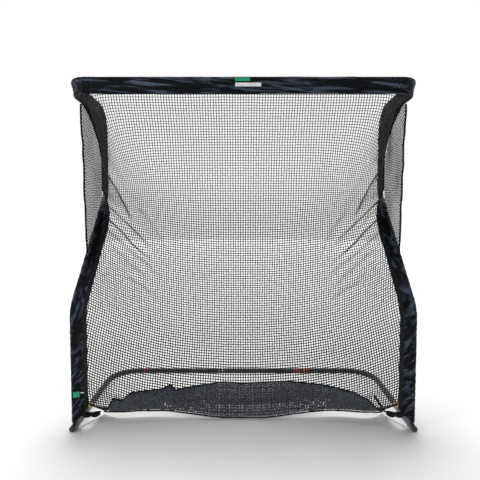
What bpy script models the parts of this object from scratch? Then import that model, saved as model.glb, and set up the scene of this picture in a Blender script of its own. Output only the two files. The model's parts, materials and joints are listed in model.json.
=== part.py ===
"""Free-standing golf return net, modelled as its separate pieces.

Row frame: metres, +Z up, +X to the player's right, -Y towards the player.
The origin lies on the ground, under the middle of the frame.

A knock-down tube frame stands on a U-shaped ground frame. Each side frame is C-shaped: a short
leg, a slope, an upright and a top arm that comes forward to the top bar. Every tube joint is a
reduced end pushed into its neighbour and held by a sprung snap button. Fabric sleeves, a main
net, two side nets, hems, an apron and two corner straps hang on the frame.
"""

from math import cos, pi, radians, sin, tan

import bmesh
import bpy
from mathutils import Matrix, Vector

# ---------------------------------------------------------------- driving dimensions, metres
SIDE_X = 1.18             # centre plane of each side frame
DEPTH = 1.067             # foot tips to the back of the ground frame
BAR_Y = -0.425            # top bar
BAR_Z = 2.407
LEG_Y = -0.462            # short front legs
LEG_TOP_Z = 0.845         # corner between leg and slope
UPRIGHT_Y = 0.33          # rear uprights
ARM_RISE = radians(4.2)   # the top arms climb towards the bar

TUBE_R = 0.019            # 38 mm tube
BORE_R = 0.0175
MALE_R = 0.0172           # reduced end that fits a bore
MALE_BORE_R = 0.0157
MALE_LENGTH = 0.070
TUBE_SIDES = 12
GAP = 0.0003              # between pieces that touch

BEND_R = 0.20             # side frame bends
TOP_BEND_R = 0.10
GROUND_BEND_R = 0.23

STUB_TOP_Z = 0.20         # where the tubes are split
GROUND_SPLIT_Y = -0.18
SLOPE_SPLIT_Y = -0.05
UPRIGHT_SPLIT_Z = 1.95
ARM_SPLIT_Y = -0.02
BAR_SPLIT_X = 0.85
REAR_SPLIT_X = 0.88
REAR_MIDDLE_X = -0.205

CAP_LIP = 0.0082          # how far a foot cap stands out of its rail
CAP_PROFILE = ((0.0, 0.006), (0.001, 0.012), (0.0028, 0.0165), (0.0052, TUBE_R),
               (CAP_LIP, TUBE_R), (CAP_LIP, MALE_R), (0.0240, MALE_R))   # reach and radius

BUTTON_R = 0.0040
BUTTON_HOLE_R = 0.0043
BUTTON_AT = 0.035         # from the joint's shoulder
BUTTON_TIP = 0.0225       # these heights are from the tube's axis
BUTTON_TIP_R = 0.0022
BUTTON_DOME = 0.0015
BUTTON_FOOT = 0.0112
BUTTON_SIDES = 8
LEAF_SHAPE = ((-0.006, 0.0118), (0.0075, 0.0118), (0.0300, -0.0070))   # along the tube and height
LEAF_HALF_WIDTH = 0.0045
LEAF_THICKNESS = 0.0008
HOLE_FROM = 0.0090
CUT_PAST = 0.005          # cutters run on past the face they cut

SLEEVE_R = 0.0235         # fabric round the tube
SLEEVE_WALL = 0.0016
SLEEVE_TAIL = 0.0935      # tube axis to the sleeve's free edge
SLEEVE_TIP_HALF = 0.003
SLEEVE_MIDDLE = 0.045     # where the two layers come together
SLEEVE_MIDDLE_HALF = 0.009
SLEEVE_BOTTOM_Z = 0.045
SLEEVE_END_Y = -0.315     # side sleeves meet the top sleeve here
SLEEVE_ROUND = (80, 280)  # degrees of the section that lie round the tube
TWIST_LEAD = 0.30         # the tail starts to turn this far before the upper bend
TWIST_TRAIL = 0.12        # and ends this far into it
TWIST_BEND_Y = 0.27       # the upper bend starts here
TWIST_LOW_Z = 1.30        # the turn lies between these heights
TWIST_HIGH_Z = 1.80
TWIST_STEP = 0.035
LONG_STEP = 0.22

NET_THICKNESS = 0.005
NET_CLEAR = 0.005
NET_COLUMNS = 16
NET_ROWS = 24
NET_CURVE = 2.5           # how late the net's middle runs out to its sides
NET_FOOT_Z = 0.16         # the net leaves the leg sleeve here
NET_TOP_DROP = 0.012      # the net's top corners hang this far below the bar's axis
HEM_CORNER = Vector((1.04, -0.25, 0.012))
NET_MIDDLE = ((-0.399, 2.395), (-0.385, 2.30), (-0.304, 2.16), (-0.226, 1.96), (-0.162, 1.67),
              (-0.095, 1.36), (-0.039, 1.045), (0.015, 0.75), (-0.02, 0.56), (-0.105, 0.40),
              (-0.335, 0.012))   # y and z down the net's middle

SIDE_NET_THICKNESS = 0.003
SIDE_HEM_WIDTH = 0.030
SIDE_HEM_THICKNESS = 0.006
SIDE_HEM_TOP = Vector((0.0, -0.232, 2.290))
SIDE_HEM_FOOT = Vector((0.0, -0.166, 1.196))
SLOPE_CLEAR = 0.028       # tube axis to a side net's lower edge
GUSSET_START_Y = -0.20
GUSSET_FOOT_Z = 1.90
GUSSET_RISE = 0.068       # how far the gusset's free edge curves up from a straight line
SIDE_CLEAR = 0.001        # side nets and gussets to the sleeve's free edge
EDGE_CLEAR = 0.002        # side net to the gusset
SIDE_NET_INSET = 0.004
SIDE_NET_BACK_RISE = 0.12   # back lower corner of a side net, above the slope's top
SIDE_NET_SLOPE_LEAD = 0.03  # the lower edge meets the slope this far behind the slope's split

HEM_CORD_R = 0.006
HEM_SIDES = 6
APRON_OFFSET = 0.022
APRON_THICKNESS = 0.003
APRON_REACH = 0.96        # share of the net's half width
APRON_TOP = 0.880         # share of the way down the net
APRON_DROP = 0.026        # the apron's edge falls this much towards the sides
APRON_WAVE = 0.005
APRON_WAVE_TURNS = 9
APRON_WAVE_START = 0.6
APRON_FIRST_ROW = 0.031   # next row of points under the edge
APRON_FOOT = 0.985
APRON_HEM_R = 0.0035

STRAP_ROUTE = ((1.145, -0.428, 0.082), (1.10, -0.375, 0.050), (1.055, -0.305, 0.026))
STRAP_WIDTH = 0.025
STRAP_THICKNESS = 0.0024
BUCKLE_LENGTH = 0.006
BUCKLE_SIZE = (0.034, 0.010)
BUCKLE_WINDOW = (0.0266, 0.0046)

# ---------------------------------------------------------------- sizes worked out from them
FRONT_Y = -DEPTH / 2
REAR_Y = DEPTH / 2 - TUBE_R
SLOPE_TOP_Z = LEG_TOP_Z + UPRIGHT_Y - LEG_Y          # a 45 degree slope
SIDES = {"left": -1, "right": 1}
UP = Vector((0, 0, 1))
ACROSS = Vector((1, 0, 0))
BAR_NORMAL = Vector((0, sin(ARM_RISE), cos(ARM_RISE)))   # square to the arms and the bar

COLOURS = {
    "tube": ((0.055, 0.062, 0.075), 0.38, 0.6),
    "cap": ((0.015, 0.016, 0.018), 0.55, 0.0),
    "steel": ((0.62, 0.63, 0.65), 0.30, 1.0),
    "sleeve": ((0.012, 0.014, 0.021), 0.80, 0.0),
    "netting": ((0.016, 0.017, 0.020), 0.85, 0.0),
    "webbing": ((0.010, 0.010, 0.012), 0.75, 0.0),
}


# ---------------------------------------------------------------- scene and object helpers
def clear_scene():
    """Remove every object that the file opened with."""
    for old in list(bpy.data.objects):
        bpy.data.objects.remove(old, do_unlink=True)


def material(name):
    """Return the named material, made the first time it is asked for."""
    found = bpy.data.materials.get(name)
    if found:
        return found
    colour, roughness, metallic = COLOURS[name]
    made = bpy.data.materials.new(name)
    made.use_nodes = True
    shader = made.node_tree.nodes["Principled BSDF"]
    shader.inputs["Base Color"].default_value = (*colour, 1.0)
    shader.inputs["Roughness"].default_value = roughness
    shader.inputs["Metallic"].default_value = metallic
    return made


def add_object(name, mesh, slot):
    """Link an object that holds the mesh, with its own material slot."""
    made = bpy.data.objects.new(name, mesh)
    bpy.context.scene.collection.objects.link(made)
    if not mesh.materials:
        mesh.materials.append(material(slot))
    return made


def mesh_from(name, points, faces, smooth=True):
    """Build a mesh with its faces pointing out."""
    mesh = bpy.data.meshes.new(name)
    mesh.from_pydata([tuple(point) for point in points], [], faces)
    work = bmesh.new()
    work.from_mesh(mesh)
    bmesh.ops.recalc_face_normals(work, faces=work.faces)
    work.to_mesh(mesh)
    work.free()
    if smooth:
        mesh.shade_smooth()
        mesh.set_sharp_from_angle(angle=radians(40))
    return mesh


def make_helper(made):
    """Mark an object as a cutter or guide."""
    made.hide_render = True
    made.display_type = "WIRE"
    return made


def add_boolean(target, tool, operation):
    """Join or cut the target with the tool."""
    modifier = target.modifiers.new(operation.title(), "BOOLEAN")
    modifier.operation = operation
    modifier.solver = "EXACT"
    modifier.object = tool


# ---------------------------------------------------------------- routes and lofts
def side_point(side, y, z):
    """A point in the left or right side frame's plane."""
    return Vector((side * SIDE_X, y, z))


def arm_height(y):
    """Height of the top arm's axis above a place along the depth."""
    return BAR_Z - (y - BAR_Y) * tan(ARM_RISE)


def route(start, corners, end):
    """List (point, tangent) along straight runs joined by round bends.

    corners holds (corner point, bend radius, segments).
    """
    turns = [corner[0] for corner in corners] + [end]
    stations = [(start, (turns[0] - start).normalized())]
    last = start
    for number, (corner, radius, segments) in enumerate(corners):
        inward = (corner - last).normalized()
        onward = (turns[number + 1] - corner).normalized()
        angle = inward.angle(onward)
        axis = inward.cross(onward).normalized()
        towards_centre = axis.cross(inward)
        centre = corner - inward * radius * tan(angle / 2) + towards_centre * radius
        for step in range(segments + 1):
            turn = Matrix.Rotation(angle * step / segments, 3, axis)
            stations.append((centre - turn @ towards_centre * radius, turn @ inward))
        last = corner
    stations.append((end, stations[-1][1]))
    return stations


def densify(stations):
    """Add stations on the straight runs, closely where the sleeve's tail turns."""
    result = [stations[0]]
    for (point, tangent), (after, onward) in zip(stations, stations[1:]):
        length = (after - point).length
        done = 0.0
        while True:
            height = point.z + tangent.z * done
            done += TWIST_STEP if TWIST_LOW_Z < height < TWIST_HIGH_Z else LONG_STEP
            if done > length - TWIST_STEP / 2:
                break
            result.append((point + tangent * done, tangent))
        result.append((after, onward))
    return result


def distances(points):
    """Distance along a list of points, from the first."""
    along = [0.0]
    for before, after in zip(points, points[1:]):
        along.append(along[-1] + (after - before).length)
    return along


def ease(value):
    """Smooth step from 0 to 1."""
    value = min(1.0, max(0.0, value))
    return value * value * (3 - 2 * value)


def polygon_ring(centre, u, v, radius, sides=TUBE_SIDES):
    """A ring whose flats touch the radius, with a flat facing each way along u and v."""
    reach = radius / cos(pi / sides)
    ring = []
    for step in range(sides):
        angle = (step + 0.5) * 2 * pi / sides
        ring.append(centre + (u * cos(angle) + v * sin(angle)) * reach)
    return ring


def band_faces(first, second, count):
    """Quads between two rings of points, given where each ring starts."""
    faces = []
    for step in range(count):
        after = (step + 1) % count
        faces.append((first + step, first + after, second + after, second + step))
    return faces


def solid_loft(name, rings):
    """A closed solid through the rings, with flat ends."""
    count = len(rings[0])
    points = [point for ring in rings for point in ring]
    faces = [tuple(range(count)), tuple(range(len(points) - count, len(points)))]
    for number in range(len(rings) - 1):
        faces += band_faces(number * count, (number + 1) * count, count)
    return mesh_from(name, points, faces)


def hollow_loft(name, outer, inner):
    """A tube wall between outer rings and inner rings, open at both ends."""
    count = len(outer[0])
    points = [point for ring in outer + inner for point in ring]
    start_inner = len(outer) * count
    faces = band_faces(0, start_inner, count)
    faces += band_faces(start_inner - count, len(points) - count, count)
    for rings, start in ((outer, 0), (inner, start_inner)):
        for number in range(len(rings) - 1):
            low = start + number * count
            faces += band_faces(low, low + count, count)
    return mesh_from(name, points, faces)


def slab(name, outline, direction, thickness):
    """A flat plate: an outline extruded half its thickness each way."""
    half = direction * thickness / 2
    return solid_loft(name, [[point - half for point in outline], [point + half for point in outline]])


# ---------------------------------------------------------------- frame tubes
def frame_tube(name, stations, normal, male_start=False, male_end=False):
    """A hollow tube along the stations, with plain or reduced ends."""
    outer = []
    inner = []

    def add(rings, station, shift, radius):
        point, tangent = station
        rings.append(polygon_ring(point + tangent * shift, normal, tangent.cross(normal), radius))

    first = stations[0]
    last = stations[-1]
    if male_start:
        add(outer, first, -MALE_LENGTH, MALE_R)
        add(outer, first, 0, MALE_R)
        add(outer, first, 0, TUBE_R)
        add(inner, first, -MALE_LENGTH, MALE_BORE_R)
        add(inner, first, 0, MALE_BORE_R)
        add(inner, first, TUBE_R / 3, BORE_R)
    else:
        add(outer, first, GAP, TUBE_R)
        add(inner, first, GAP, BORE_R)
    for station in stations[1:-1]:
        add(outer, station, 0, TUBE_R)
        add(inner, station, 0, BORE_R)
    if male_end:
        add(outer, last, 0, TUBE_R)
        add(outer, last, 0, MALE_R)
        add(outer, last, MALE_LENGTH, MALE_R)
        add(inner, last, -TUBE_R / 3, BORE_R)
        add(inner, last, 0, MALE_BORE_R)
        add(inner, last, MALE_LENGTH, MALE_BORE_R)
    else:
        add(outer, last, -GAP, TUBE_R)
        add(inner, last, -GAP, BORE_R)
    return add_object(name, hollow_loft(name, outer, inner), "tube")


def rod(name, start, end, normal, radius):
    """A closed many-sided rod, used as a helper."""
    tangent = (end - start).normalized()
    rings = [polygon_ring(point, normal, tangent.cross(normal), radius) for point in (start, end)]
    return make_helper(add_object(name, solid_loft(name, rings), "tube"))


def foot_tee(side_name, side):
    """Ground rail with the leg's stub standing on it, both bored through."""
    front = side_point(side, FRONT_Y + CAP_LIP + GAP, TUBE_R)
    back = side_point(side, GROUND_SPLIT_Y - GAP, TUBE_R)
    foot = side_point(side, LEG_Y, TUBE_R)
    top = side_point(side, LEG_Y, STUB_TOP_Z - GAP)
    beyond = Vector((0, CUT_PAST, 0))
    rings = [polygon_ring(point, UP, ACROSS, TUBE_R) for point in (front, back)]
    name = "foot_tee_" + side_name
    made = add_object(name, solid_loft(name, rings), "tube")
    stub = rod(name + "_stub", foot, top, ACROSS, TUBE_R)
    rail_bore = rod(name + "_rail_bore", front - beyond, back + beyond, UP, BORE_R)
    stub_bore = rod(name + "_stub_bore", foot, top + UP * CUT_PAST, ACROSS, BORE_R)
    add_boolean(made, stub, "UNION")
    add_boolean(made, rail_bore, "DIFFERENCE")
    add_boolean(made, stub_bore, "DIFFERENCE")
    return made


def foot_cap(side_name, side):
    """Domed plug in the front end of a ground rail."""
    rings = []
    for reach, radius in CAP_PROFILE:
        rings.append(polygon_ring(side_point(side, FRONT_Y + reach, TUBE_R), UP, ACROSS, radius))
    name = "foot_cap_" + side_name
    return add_object(name, solid_loft(name, rings), "cap")


def build_frame():
    """Make every frame tube and return them by name."""
    tubes = {}
    for side_name, side in SIDES.items():
        tubes["foot_tee_" + side_name] = foot_tee(side_name, side)
        foot_cap(side_name, side)

        leg_corner = side_point(side, LEG_Y, LEG_TOP_Z)
        slope_split = side_point(side, SLOPE_SPLIT_Y, LEG_TOP_Z + SLOPE_SPLIT_Y - LEG_Y)
        slope_corner = side_point(side, UPRIGHT_Y, SLOPE_TOP_Z)
        upright_split = side_point(side, UPRIGHT_Y, UPRIGHT_SPLIT_Z)
        arm_corner = side_point(side, UPRIGHT_Y, arm_height(UPRIGHT_Y))
        arm_split = side_point(side, ARM_SPLIT_Y, arm_height(ARM_SPLIT_Y))
        top_corner = side_point(side, BAR_Y, BAR_Z)
        bar_split = Vector((side * BAR_SPLIT_X, BAR_Y, BAR_Z))
        ground_split = side_point(side, GROUND_SPLIT_Y, TUBE_R)
        ground_corner = side_point(side, REAR_Y, TUBE_R)
        rear_split = Vector((side * REAR_SPLIT_X, REAR_Y, TUBE_R))

        pieces = (
            ("lower_upright_", side_point(side, LEG_Y, STUB_TOP_Z), (leg_corner, BEND_R, 4),
             slope_split, ACROSS),
            ("mid_upright_", slope_split, (slope_corner, BEND_R, 4), upright_split, ACROSS),
            ("top_arm_", upright_split, (arm_corner, BEND_R, 6), arm_split, ACROSS),
            ("top_corner_", arm_split, (top_corner, TOP_BEND_R, 5), bar_split, BAR_NORMAL),
            ("ground_corner_", ground_split, (ground_corner, GROUND_BEND_R, 6), rear_split, UP),
        )
        for prefix, start, corner, end, normal in pieces:
            name = prefix + side_name
            tubes[name] = frame_tube(name, route(start, [corner], end), normal, male_start=True)

    def straight(name, y, z, x_from, x_to, normal, male_start, male_end):
        line = route(Vector((x_from, y, z)), [], Vector((x_to, y, z)))
        tubes[name] = frame_tube(name, line, normal, male_start, male_end)

    straight("top_bar_left", BAR_Y, BAR_Z, -BAR_SPLIT_X, 0, BAR_NORMAL, True, False)
    straight("top_bar_right", BAR_Y, BAR_Z, 0, BAR_SPLIT_X, BAR_NORMAL, True, True)
    straight("rear_tube_left", REAR_Y, TUBE_R, -REAR_SPLIT_X, REAR_MIDDLE_X, UP, True, False)
    straight("rear_tube_right", REAR_Y, TUBE_R, REAR_MIDDLE_X, REAR_SPLIT_X, UP, True, True)
    return tubes


# ---------------------------------------------------------------- snap buttons
def button_mesh():
    """Snap button and its leaf spring, about the button's own axis: +Z out of the tube."""
    y_axis = Vector((0, 1, 0))
    profile = ((BUTTON_FOOT, BUTTON_R), (BUTTON_TIP - BUTTON_DOME, BUTTON_R), (BUTTON_TIP, BUTTON_TIP_R))
    rings = []
    for height, radius in profile:
        rings.append(polygon_ring(UP * height, ACROSS, y_axis, radius, BUTTON_SIDES))
    pin = add_object("button_pin", solid_loft("button_pin", rings), "steel")

    under = Vector((-LEAF_THICKNESS / 3, 0, -LEAF_THICKNESS))
    upper = [Vector((x, 0, z)) for x, z in LEAF_SHAPE]
    outline = upper + [point + under for point in reversed(upper)]
    leaf = slab("button_leaf", outline, y_axis, 2 * LEAF_HALF_WIDTH)
    made = add_object("button_source", leaf, "steel")
    add_boolean(made, pin, "UNION")
    bpy.context.view_layer.update()
    graph = bpy.context.evaluated_depsgraph_get()
    joined = bpy.data.meshes.new_from_object(made.evaluated_get(graph))
    joined.name = "snap_button"
    bpy.data.objects.remove(made)
    bpy.data.objects.remove(pin)
    return joined


def hole_mesh():
    """Cutter for a button's hole through both tube walls, in the button's own frame."""
    rings = []
    for height in (HOLE_FROM, TUBE_R + CUT_PAST):
        rings.append(polygon_ring(UP * height, ACROSS, Vector((0, 1, 0)), BUTTON_HOLE_R, BUTTON_SIDES))
    return solid_loft("button_hole", rings)


def build_buttons(tubes):
    """Put a snap button, and its hole through both tubes, at every joint."""
    button = button_mesh()
    hole = hole_mesh()
    slope = Vector((0, -1, -1)).normalized()
    joints = [
        ("top_middle", Vector((0, BAR_Y, BAR_Z)), -ACROSS, -BAR_NORMAL, "top_bar_left", "top_bar_right"),
        ("rear_middle", Vector((REAR_MIDDLE_X, REAR_Y, TUBE_R)), -ACROSS, UP,
         "rear_tube_left", "rear_tube_right"),
    ]
    for side_name, side in SIDES.items():
        inward = -side * ACROSS
        arm_back = Vector((0, cos(ARM_RISE), -sin(ARM_RISE)))
        places = (
            ("ground_", side_point(side, GROUND_SPLIT_Y, TUBE_R), Vector((0, -1, 0)), UP,
             "foot_tee_", "ground_corner_"),
            ("leg_", side_point(side, LEG_Y, STUB_TOP_Z), -UP, inward, "foot_tee_", "lower_upright_"),
            ("slope_", side_point(side, SLOPE_SPLIT_Y, LEG_TOP_Z + SLOPE_SPLIT_Y - LEG_Y), slope, inward,
             "lower_upright_", "mid_upright_"),
            ("upright_", side_point(side, UPRIGHT_Y, UPRIGHT_SPLIT_Z), -UP, Vector((0, -1, 0)),
             "mid_upright_", "top_arm_"),
            ("arm_", side_point(side, ARM_SPLIT_Y, arm_height(ARM_SPLIT_Y)), arm_back, -BAR_NORMAL,
             "top_arm_", "top_corner_"),
            ("bar_", Vector((side * BAR_SPLIT_X, BAR_Y, BAR_Z)), side * ACROSS, -BAR_NORMAL,
             "top_corner_", "top_bar_"),
            ("rear_", Vector((side * REAR_SPLIT_X, REAR_Y, TUBE_R)), side * ACROSS, UP,
             "ground_corner_", "rear_tube_"),
        )
        for name, shoulder, male_way, out, female, male in places:
            joints.append((name + side_name, shoulder, male_way, out, female + side_name,
                           male + side_name))

    for name, shoulder, male_way, out, female, male in joints:
        columns = Matrix((male_way, out.cross(male_way), out)).transposed()
        place = Matrix.Translation(shoulder + male_way * BUTTON_AT) @ columns.to_4x4()
        add_object("button_" + name, button, "steel").matrix_world = place
        cutter = make_helper(add_object("hole_" + name, hole, "steel"))
        cutter.matrix_world = place
        add_boolean(tubes[female], cutter, "DIFFERENCE")
        add_boolean(tubes[male], cutter, "DIFFERENCE")


# ---------------------------------------------------------------- sleeves
def sleeve_ring(centre, tangent, tail, inset):
    """Teardrop section: round the tube, then flat out to the sleeve's free edge."""
    across = tangent.cross(tail)
    radius = SLEEVE_R - inset
    ring = []
    start, end = SLEEVE_ROUND
    for step in range(7):
        angle = radians(start + step * (end - start) / 6)
        ring.append(centre + (tail * cos(angle) + across * sin(angle)) * radius)
    flat = ((SLEEVE_MIDDLE, SLEEVE_MIDDLE_HALF - inset), (SLEEVE_TAIL - inset, SLEEVE_TIP_HALF - inset))
    for reach, half in flat:
        ring.append(centre + tail * reach - across * half)
    for reach, half in reversed(flat):
        ring.append(centre + tail * reach + across * half)
    return ring


def sleeve(name, stations, tails):
    """A fabric sleeve along the stations, its tail turned as listed."""
    outer = []
    inner = []
    for (point, tangent), tail in zip(stations, tails):
        outer.append(sleeve_ring(point, tangent, tail, 0))
        inner.append(sleeve_ring(point, tangent, tail, SLEEVE_WALL))
    return add_object(name, hollow_loft(name, outer, inner), "sleeve")


def side_stations(side):
    """Stations from the foot of a leg round to the front of the top arm."""
    corners = [
        (side_point(side, LEG_Y, LEG_TOP_Z), BEND_R, 4),
        (side_point(side, UPRIGHT_Y, SLOPE_TOP_Z), BEND_R, 4),
        (side_point(side, UPRIGHT_Y, arm_height(UPRIGHT_Y)), BEND_R, 6),
    ]
    start = side_point(side, LEG_Y, SLEEVE_BOTTOM_Z)
    end = side_point(side, SLEEVE_END_Y, arm_height(SLEEVE_END_Y))
    return densify(route(start, corners, end))


def tail_turns(stations):
    """How far the tail has turned at each station: 0 inward across, 1 to the inside of the C."""
    along = distances([point for point, _ in stations])
    upper_bend = min(at for at, (point, _) in zip(along, stations) if point.y > TWIST_BEND_Y)
    turns = []
    for at in along:
        turns.append(ease((at - upper_bend + TWIST_LEAD) / (TWIST_LEAD + TWIST_TRAIL)))
    return turns


def tail_direction(side, tangent, turned):
    """The tail's direction, square to the tube."""
    inside = Vector((0, -tangent.z, tangent.y))
    angle = turned * pi / 2
    return -side * ACROSS * cos(angle) + inside * sin(angle)


def build_sleeves():
    """Side sleeves up each side frame, and the top sleeve along the bar and round its corners."""
    for side_name, side in SIDES.items():
        stations = side_stations(side)
        tails = []
        for (_, tangent), turned in zip(stations, tail_turns(stations)):
            tails.append(tail_direction(side, tangent, turned))
        sleeve("side_sleeve_" + side_name, stations, tails)

    end_y = SLEEVE_END_Y - SIDE_CLEAR
    corners = [(side_point(side, BAR_Y, BAR_Z), TOP_BEND_R, 5) for side in (-1, 1)]
    ends = [side_point(side, end_y, arm_height(end_y)) for side in (-1, 1)]
    stations = route(ends[0], corners, ends[1])
    sleeve("top_sleeve", stations, [-BAR_NORMAL] * len(stations))


# ---------------------------------------------------------------- side nets
def gusset_edge(offset, steps=8):
    """Free edge of the corner gusset in a side frame's plane, moved down by the offset."""
    start = Vector((0, GUSSET_START_Y, arm_height(GUSSET_START_Y) - SLEEVE_TAIL - SIDE_CLEAR))
    end = Vector((0, UPRIGHT_Y - SLEEVE_TAIL - SIDE_CLEAR, GUSSET_FOOT_Z))
    chord = end - start
    square = Vector((0, -chord.z, chord.y)).normalized()
    points = []
    for step in range(steps + 1):
        share = step / steps
        rise = GUSSET_RISE * 4 * share * (1 - share) - offset
        points.append(start + chord * share + square * rise)
    return points


def slope_edge(y):
    """Lower edge of a side net, just clear of the slope's sleeve."""
    return Vector((0, y, LEG_TOP_Z + y - LEG_Y + SLOPE_CLEAR / cos(pi / 4)))


def build_side_nets():
    """Corner gusset, side net and front hem in each side frame."""
    for side_name, side in SIDES.items():
        plane = side * SIDE_X * ACROSS
        reach = SLEEVE_TAIL + SIDE_CLEAR

        corner = (side_point(side, UPRIGHT_Y, arm_height(UPRIGHT_Y)), BEND_R, 6)
        inner_edge = []
        start = side_point(side, UPRIGHT_Y, GUSSET_FOOT_Z)
        end = side_point(side, GUSSET_START_Y, arm_height(GUSSET_START_Y))
        for point, tangent in route(start, [corner], end):
            inner_edge.append(point + Vector((0, -tangent.z, tangent.y)) * reach)
        free_edge = [plane + point for point in gusset_edge(0)]
        outline = inner_edge[:-1] + free_edge[:-1]
        name = "corner_gusset_" + side_name
        add_object(name, slab(name, outline, ACROSS, SIDE_NET_THICKNESS), "sleeve")

        edge_back = Vector((0, SIDE_HEM_WIDTH / 2 + GAP, 0))
        back_y = UPRIGHT_Y - reach - SIDE_CLEAR
        outline = [plane + SIDE_HEM_TOP + edge_back - UP * SIDE_NET_INSET]
        outline += [plane + point for point in gusset_edge(EDGE_CLEAR)[1:-1]]
        outline += [
            plane + Vector((0, back_y, GUSSET_FOOT_Z - SIDE_NET_INSET)),
            plane + Vector((0, back_y, SLOPE_TOP_Z + SIDE_NET_BACK_RISE)),
            plane + slope_edge(SLOPE_SPLIT_Y + SIDE_NET_SLOPE_LEAD),
            plane + slope_edge(SIDE_HEM_FOOT.y + edge_back.y),
        ]
        name = "side_net_" + side_name
        add_object(name, slab(name, outline, ACROSS, SIDE_NET_THICKNESS), "netting")

        rings = []
        half_y = Vector((0, SIDE_HEM_WIDTH / 2, 0))
        half_x = ACROSS * SIDE_HEM_THICKNESS / 2
        for end_point in (SIDE_HEM_FOOT, SIDE_HEM_TOP):
            middle = plane + end_point
            rings.append([middle - half_y - half_x, middle + half_y - half_x,
                          middle + half_y + half_x, middle - half_y + half_x])
        name = "side_hem_" + side_name
        add_object(name, solid_loft(name, rings), "webbing")


# ---------------------------------------------------------------- main net, apron and hems
def point_along(points, along, share):
    """Point at a share of a polyline's length."""
    target = share * along[-1]
    for number in range(1, len(points)):
        if target <= along[number] or number == len(points) - 1:
            length = along[number] - along[number - 1]
            part = (target - along[number - 1]) / length
            return points[number - 1].lerp(points[number], part)


def smooth_line(points, steps):
    """Smooth curve through the points, with steps points on each stretch."""
    result = []
    padded = [2 * points[0] - points[1]] + points + [2 * points[-1] - points[-2]]
    for number in range(1, len(padded) - 2):
        before, start, end, after = padded[number - 1:number + 3]
        for step in range(steps):
            t = step / steps
            result.append(0.5 * (2 * start + (end - before) * t
                                 + (2 * before - 5 * start + 4 * end - after) * t * t
                                 + (3 * start - before - 3 * end + after) * t ** 3))
    result.append(points[-1])
    return result


def net_side_line():
    """The main net's right edge, from the top bar round the side frame to the ground."""
    stations = side_stations(1)
    points = []
    for (point, _), turned in zip(stations, tail_turns(stations)):
        flat = cos(turned * pi / 2)
        inset = SLEEVE_R + NET_CLEAR + flat * (SLEEVE_TAIL - SLEEVE_R)
        if point.z > NET_FOOT_Z:
            points.append(point - ACROSS * inset)
    foot = Vector((SIDE_X - SLEEVE_TAIL - NET_CLEAR, LEG_Y, NET_FOOT_Z))
    bend_inset = TOP_BEND_R - SLEEVE_R - NET_CLEAR
    bend_centre = Vector((SIDE_X - TOP_BEND_R, BAR_Y + TOP_BEND_R, BAR_Z))
    top = []
    for angle in (90, 45):
        turn = radians(angle)
        reach = Vector((cos(turn) * bend_inset, -sin(turn) * bend_inset, -NET_TOP_DROP))
        top.append(bend_centre + reach)
    return top + points[::-1] + [foot, HEM_CORNER]


class NetSurface:
    """The main net's surface: across is -1 to 1, down is 0 at the bar to 1 at the ground."""

    def __init__(self):
        self.side = net_side_line()
        self.side_along = distances(self.side)
        self.middle = smooth_line([Vector((0, y, z)) for y, z in NET_MIDDLE], 6)
        self.middle_along = distances(self.middle)

    def point(self, across, down):
        edge = point_along(self.side, self.side_along, down)
        middle = point_along(self.middle, self.middle_along, down)
        bend = abs(across) ** NET_CURVE
        return Vector((across * edge.x, middle.y + (edge.y - middle.y) * bend,
                       middle.z + (edge.z - middle.z) * bend))

    def on_facets(self, across, down):
        """The same place on the net's solid, whose facets cut the curve's corners."""
        column = (across + 1) / 2 * NET_COLUMNS
        row = down * NET_ROWS
        left = min(int(column), NET_COLUMNS - 1)
        upper = min(int(row), NET_ROWS - 1)
        share = column - left
        fall = row - upper

        def corner(right, lower):
            return self.point(2 * (left + right) / NET_COLUMNS - 1, (upper + lower) / NET_ROWS)

        near = corner(0, 0)
        far = corner(1, 1)
        if share > fall:
            turn = corner(1, 0)
            return near + (turn - near) * share + (far - turn) * fall
        turn = corner(0, 1)
        return near + (turn - near) * fall + (far - turn) * share

    def normal(self, across, down):
        """Unit normal on the player's side."""
        step = 0.01
        left = max(-1.0, across - step)
        right = min(1.0, across + step)
        upper = max(0.0, down - step)
        lower = min(1.0, down + step)
        wide = self.point(right, down) - self.point(left, down)
        high = self.point(across, upper) - self.point(across, lower)
        return wide.cross(high).normalized()


def sheet_solid(name, front, back, slot):
    """A closed sheet between two grids of points."""
    rows = len(front)
    columns = len(front[0])
    points = [point for row in front + back for point in row]
    shift = rows * columns
    faces = []
    for row in range(rows - 1):
        for column in range(columns - 1):
            low = row * columns + column
            far = low + columns + 1
            for face in ((low, low + 1, far), (low, far, low + columns)):
                faces.append(face)
                faces.append(tuple(corner + shift for corner in reversed(face)))
    rim = list(range(columns))
    rim += [row * columns + columns - 1 for row in range(1, rows)]
    rim += list(range(rows * columns - 2, (rows - 1) * columns - 1, -1))
    rim += [row * columns for row in range(rows - 2, 0, -1)]
    for here, after in zip(rim, rim[1:] + rim[:1]):
        faces.append((here, after, after + shift, here + shift))
    return add_object(name, mesh_from(name, points, faces), slot)


def apron_top(across):
    """Share of the way down the net where the apron's wavy edge lies."""
    wave = APRON_WAVE * sin(APRON_WAVE_TURNS * across + APRON_WAVE_START)
    return APRON_TOP + APRON_DROP * across ** 2 + wave


def cord_rings(points, radius, sides):
    """Rings along a line that runs across the net."""
    rings = []
    for number, point in enumerate(points):
        before = points[max(0, number - 1)]
        after = points[min(len(points) - 1, number + 1)]
        tangent = (after - before).normalized()
        u = tangent.cross(UP).normalized()
        rings.append(polygon_ring(point, u, u.cross(tangent), radius, sides))
    return rings


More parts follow.
